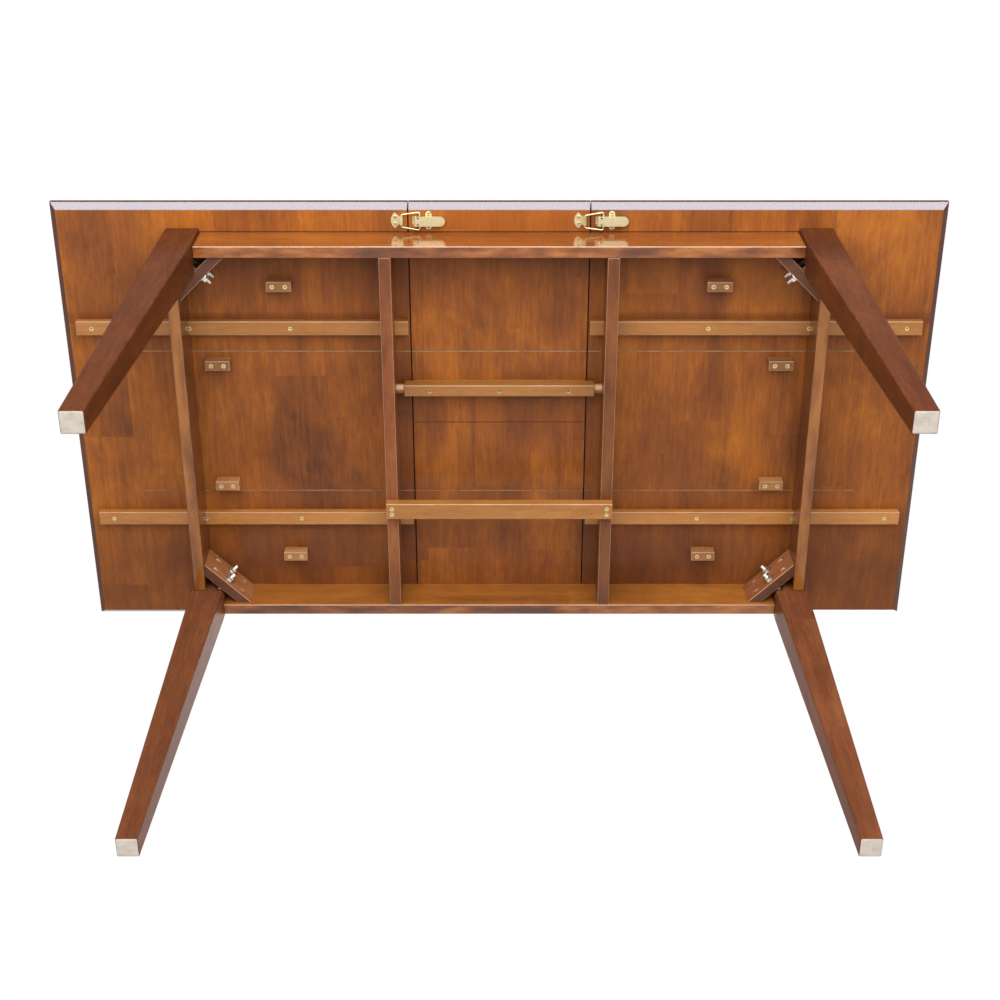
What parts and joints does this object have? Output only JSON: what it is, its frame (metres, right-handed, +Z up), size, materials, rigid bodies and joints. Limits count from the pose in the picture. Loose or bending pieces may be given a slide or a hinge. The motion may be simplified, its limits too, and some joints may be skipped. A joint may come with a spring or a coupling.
{
  "type": "butterfly leaf dining table",
  "caption": "Rectangular extending dining table on tapered legs: its end tops slide apart on runners, and a leaf that folds at its middle turns about a pivot bar below.",
  "frame": {"origin": "on the floor under the middle of the table, drawn out", "axes": "+X along the table's length, towards the right end top; +Z up; -Y is the front, where the latches are"},
  "size_m": [1.524, 0.8128, 0.762],
  "materials": {
    "stained_top": "gloss stain",
    "stained_frame": "satin stain",
    "plain_bar": "thin stain",
    "pale_block": "bare wood",
    "brass": "bright",
    "zinc": "zinc plated"
  },
  "bodies": {
    "frame": {"front_apron": "stained_frame", "rear_apron": "stained_frame", "left_apron": "stained_frame", "right_apron": "stained_frame", "left_cross_rail": "plain_bar", "right_cross_rail": "plain_bar", "leg_front_left": "stained_frame", "leg_front_right": "stained_frame", "leg_rear_left": "stained_frame", "leg_rear_right": "stained_frame", "corner_block_front_left": "stained_frame", "corner_block_front_right": "stained_frame", "corner_block_rear_left": "stained_frame", "corner_block_rear_right": "stained_frame", "hanger_bolt_front_left_upper": "zinc", "hanger_bolt_front_left_lower": "zinc", "hanger_bolt_front_right_upper": "zinc", "hanger_bolt_front_right_lower": "zinc", "hanger_bolt_rear_left_upper": "zinc", "hanger_bolt_rear_left_lower": "zinc", "hanger_bolt_rear_right_upper": "zinc", "hanger_bolt_rear_right_lower": "zinc", "leaf_support_bar": "plain_bar"},
    "left_end": {"left_top": "stained_top", "left_runner_front": "plain_bar", "left_runner_rear": "plain_bar", "left_open_stop_front": "pale_block", "left_open_stop_rear": "pale_block", "left_close_stop_front": "pale_block", "left_close_stop_rear": "pale_block", "left_latch_strike": "brass"},
    "left_bail": {"left_latch_bail": "brass"},
    "right_end": {"right_top": "stained_top", "right_runner_front": "plain_bar", "right_runner_rear": "plain_bar", "right_open_stop_front": "pale_block", "right_open_stop_rear": "pale_block", "right_close_stop_front": "pale_block", "right_close_stop_rear": "pale_block", "right_latch_base": "brass", "right_latch_pin": "brass"},
    "right_lever": {"right_latch_lever": "brass"},
    "right_bail": {"right_latch_bail": "brass"},
    "leaf_front": {"leaf_front_half": "stained_top", "pivot_bar": "plain_bar", "hinge_barrel_front_left": "brass", "hinge_barrel_front_right": "brass", "left_latch_base": "brass", "left_latch_pin": "brass", "right_latch_strike": "brass"},
    "left_lever": {"left_latch_lever": "brass"},
    "leaf_rear": {"leaf_rear_half": "stained_top", "hinge_barrel_rear_left": "brass", "hinge_barrel_rear_right": "brass"}
  },
  "joints": [
    {"name": "left_top_slide", "type": "slide", "parent": "frame", "child": "left_end", "axis": [-1, 0, 0], "range_m": [0, 0.0237]},
    {"name": "right_top_slide", "type": "slide", "parent": "frame", "child": "right_end", "axis": [1, 0, 0], "range_m": [0, 0.0237]},
    {"name": "leaf_swing", "type": "hinge", "parent": "frame", "child": "leaf_front", "pos_m": [0, -0.0735, 0.7245], "axis": [-1, 0, 0], "range_deg": [0, 135]},
    {"name": "leaf_fold", "type": "hinge", "parent": "leaf_front", "child": "leaf_rear", "pos_m": [0, 0, 0.7623], "axis": [1, 0, 0], "range_deg": [0, 180]},
    {"name": "left_latch_lever_turn", "type": "hinge", "parent": "leaf_front", "child": "left_lever", "pos_m": [-0.1412, -0.3779, 0.7355], "axis": [0, 1, 0], "range_deg": [0, 100]},
    {"name": "left_latch_bail_turn", "type": "hinge", "parent": "left_end", "child": "left_bail", "pos_m": [-0.1657, -0.3779, 0.737], "axis": [0, 1, 0], "range_deg": [0, 36]},
    {"name": "right_latch_lever_turn", "type": "hinge", "parent": "right_end", "child": "right_lever", "pos_m": [0.1692, -0.3779, 0.7355], "axis": [0, 1, 0], "range_deg": [0, 100]},
    {"name": "right_latch_bail_turn", "type": "hinge", "parent": "right_lever", "child": "right_bail", "pos_m": [0.1762, -0.3779, 0.735], "axis": [0, 1, 0], "range_deg": [-100, 0]}
  ],
  "couplings": [
    {"joint": "leaf_fold", "follows": "leaf_swing", "ratio": 1.3333},
    {"joint": "left_latch_bail_turn", "follows": "left_latch_lever_turn", "ratio": 0.35},
    {"joint": "right_latch_bail_turn", "follows": "right_latch_lever_turn", "ratio": -1}
  ]
}
